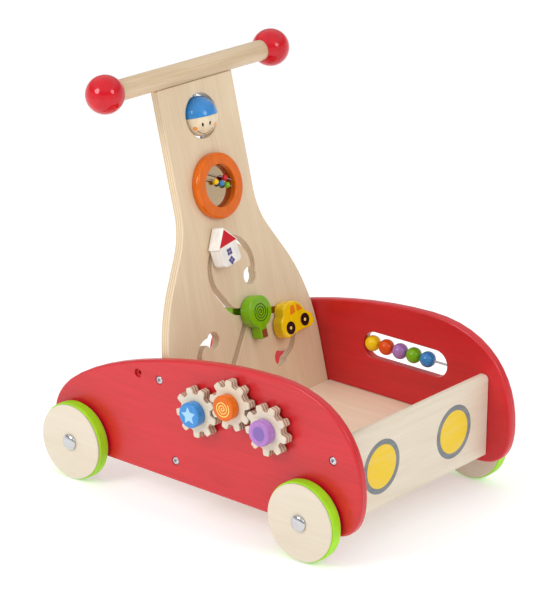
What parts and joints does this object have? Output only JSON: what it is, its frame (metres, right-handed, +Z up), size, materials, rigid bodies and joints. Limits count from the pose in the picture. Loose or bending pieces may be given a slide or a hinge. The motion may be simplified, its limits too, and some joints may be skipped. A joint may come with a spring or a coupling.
{
  "type": "baby walker",
  "caption": "Wooden push-along baby walker: an open tray on rubber-tyred wheels with a tall play board of sliding figures, gears and beads.",
  "frame": {"origin": "on the floor, under the middle of the walker's bounding box", "axes": "+X the walking direction, +Y the walker's left (the panel with the bead slot), +Z up"},
  "size_m": [0.472, 0.341, 0.4998],
  "materials": {
    "red_stain": "translucent red stain under satin lacquer",
    "cream_wood": "satin lacquer over pale wood",
    "birch": "satin lacquer over birch plywood",
    "lime_rubber": "smooth matt",
    "chrome": "polished",
    "steel": "smooth drawn",
    "mirror": "polished",
    "blue_lacquer": "gloss paint",
    "orange_lacquer": "gloss paint",
    "purple_lacquer": "gloss paint",
    "yellow_lacquer": "gloss paint",
    "green_lacquer": "gloss paint",
    "red_lacquer": "gloss paint",
    "white_lacquer": "gloss paint"
  },
  "bodies": {
    "frame": {"side_panel_left": "red_stain", "side_panel_right": "red_stain", "front_panel": "cream_wood", "tray_floor": "birch", "upright_board": "birch", "rear_axle": "steel", "front_axle": "steel", "rear_cap_left": "chrome", "rear_cap_right": "chrome", "front_cap_left": "chrome", "front_cap_right": "chrome", "board_upper_screw_left": "chrome", "board_upper_screw_right": "chrome", "board_lower_screw_left": "chrome", "board_lower_screw_right": "chrome", "front_screw_left": "chrome", "front_screw_right": "chrome", "blue_gear_pin": "steel", "orange_gear_pin": "steel", "purple_gear_pin": "steel", "bead_rod": "steel", "handle_bar": "birch", "handle_ball_left": "red_lacquer", "handle_ball_right": "red_lacquer", "head_pin": "steel", "window_ring": "orange_lacquer", "window_mirror": "mirror", "window_wire_lower": "steel", "window_wire_upper": "steel"},
    "rear_wheel_left_body": {"rear_wheel_left": "cream_wood", "rear_tyre_left": "lime_rubber"},
    "rear_wheel_right_body": {"rear_wheel_right": "cream_wood", "rear_tyre_right": "lime_rubber"},
    "front_wheel_left_body": {"front_wheel_left": "cream_wood", "front_tyre_left": "lime_rubber"},
    "front_wheel_right_body": {"front_wheel_right": "cream_wood", "front_tyre_right": "lime_rubber"},
    "blue_gear_body": {"blue_gear": "birch", "blue_knob": "blue_lacquer"},
    "orange_gear_body": {"orange_gear": "birch", "orange_knob": "orange_lacquer"},
    "purple_gear_body": {"purple_gear": "birch", "purple_knob": "purple_lacquer"},
    "yellow_bead_body": {"yellow_bead": "yellow_lacquer"},
    "red_bead_body": {"red_bead": "red_lacquer"},
    "purple_bead_body": {"purple_bead": "purple_lacquer"},
    "green_bead_body": {"green_bead": "green_lacquer"},
    "blue_bead_body": {"blue_bead": "blue_lacquer"},
    "head_body": {"head_ball": "blue_lacquer"},
    "yellow_window_bead_body": {"yellow_window_bead": "yellow_lacquer"},
    "blue_window_bead_body": {"blue_window_bead": "blue_lacquer"},
    "green_window_bead_body": {"green_window_bead": "green_lacquer"},
    "red_window_bead_body": {"red_window_bead": "red_lacquer"},
    "house_body": {"house": "white_lacquer", "house_button": "white_lacquer"},
    "tree_body": {"tree": "green_lacquer", "tree_button": "green_lacquer"},
    "car_body": {"car": "yellow_lacquer", "car_button": "yellow_lacquer"}
  },
  "joints": [
    {"name": "rear_wheel_left_spin", "type": "hinge", "parent": "frame", "child": "rear_wheel_left_body", "pos_m": [-0.1885, 0.1563, 0.0475], "axis": [0, 1, 0], "continuous": true},
    {"name": "rear_wheel_right_spin", "type": "hinge", "parent": "frame", "child": "rear_wheel_right_body", "pos_m": [-0.1885, -0.1563, 0.0475], "axis": [0, 1, 0], "continuous": true},
    {"name": "front_wheel_left_spin", "type": "hinge", "parent": "frame", "child": "front_wheel_left_body", "pos_m": [0.1645, 0.1563, 0.0475], "axis": [0, 1, 0], "continuous": true},
    {"name": "front_wheel_right_spin", "type": "hinge", "parent": "frame", "child": "front_wheel_right_body", "pos_m": [0.1645, -0.1563, 0.0475], "axis": [0, 1, 0], "continuous": true},
    {"name": "blue_gear_spin", "type": "hinge", "parent": "frame", "child": "blue_gear_body", "pos_m": [0.0054, -0.1525, 0.1342], "axis": [0, 1, 0], "continuous": true},
    {"name": "orange_gear_spin", "type": "hinge", "parent": "frame", "child": "orange_gear_body", "pos_m": [0.05624, -0.1525, 0.1562], "axis": [0, 1, 0], "continuous": true},
    {"name": "purple_gear_spin", "type": "hinge", "parent": "frame", "child": "purple_gear_body", "pos_m": [0.10931, -0.1525, 0.14028], "axis": [0, 1, 0], "continuous": true},
    {"name": "yellow_bead_slide", "type": "slide", "parent": "frame", "child": "yellow_bead_body", "axis": [1, 0, 0], "range_m": [0, 0.021]},
    {"name": "red_bead_slide", "type": "slide", "parent": "frame", "child": "red_bead_body", "axis": [1, 0, 0], "range_m": [0, 0.021]},
    {"name": "purple_bead_slide", "type": "slide", "parent": "frame", "child": "purple_bead_body", "axis": [1, 0, 0], "range_m": [0, 0.021]},
    {"name": "green_bead_slide", "type": "slide", "parent": "frame", "child": "green_bead_body", "axis": [1, 0, 0], "range_m": [0, 0.021]},
    {"name": "blue_bead_slide", "type": "slide", "parent": "frame", "child": "blue_bead_body", "axis": [1, 0, 0], "range_m": [0, 0.021]},
    {"name": "head_spin", "type": "hinge", "parent": "frame", "child": "head_body", "pos_m": [-0.13139, 0, 0.4239], "axis": [-0.2462, 0, 0.9692], "continuous": true},
    {"name": "blue_window_bead_slide", "type": "slide", "parent": "frame", "child": "blue_window_bead_body", "axis": [0.0978, 0.9178, -0.3849], "range_m": [-0.0145, 0.0074]},
    {"name": "yellow_window_bead_slide", "type": "slide", "parent": "frame", "child": "yellow_window_bead_body", "axis": [0.0978, 0.9178, -0.3849], "range_m": [-0.0145, 0.0074]},
    {"name": "green_window_bead_slide", "type": "slide", "parent": "frame", "child": "green_window_bead_body", "axis": [0.0978, 0.9178, -0.3849], "range_m": [-0.0145, 0.0074]},
    {"name": "red_window_bead_slide", "type": "slide", "parent": "frame", "child": "red_window_bead_body", "axis": [0.0978, 0.9178, -0.3849], "range_m": [-0.026, 0.0098]},
    {"name": "house_slot", "type": "hinge", "parent": "frame", "child": "house_body", "pos_m": [-0.07019, 0.0015, 0.24733], "axis": [0.9692, 0, 0.2462], "range_deg": [-116, 70]},
    {"name": "tree_slot", "type": "slide", "parent": "frame", "child": "tree_body", "axis": [0.0529, 0.9767, -0.2082], "range_m": [-0.017, 0.006]},
    {"name": "car_slot", "type": "hinge", "parent": "frame", "child": "car_body", "pos_m": [-0.04718, 0.058, 0.15671], "axis": [0.9692, 0, 0.2462], "range_deg": [-125, 6]}
  ],
  "couplings": [
    {"joint": "orange_gear_spin", "follows": "blue_gear_spin", "ratio": -1},
    {"joint": "purple_gear_spin", "follows": "blue_gear_spin", "ratio": 1},
    {"joint": "red_bead_slide", "follows": "yellow_bead_slide", "ratio": 1},
    {"joint": "purple_bead_slide", "follows": "yellow_bead_slide", "ratio": 1},
    {"joint": "green_bead_slide", "follows": "yellow_bead_slide", "ratio": 1},
    {"joint": "blue_bead_slide", "follows": "yellow_bead_slide", "ratio": 1},
    {"joint": "yellow_window_bead_slide", "follows": "blue_window_bead_slide", "ratio": 1},
    {"joint": "green_window_bead_slide", "follows": "blue_window_bead_slide", "ratio": 1}
  ]
}
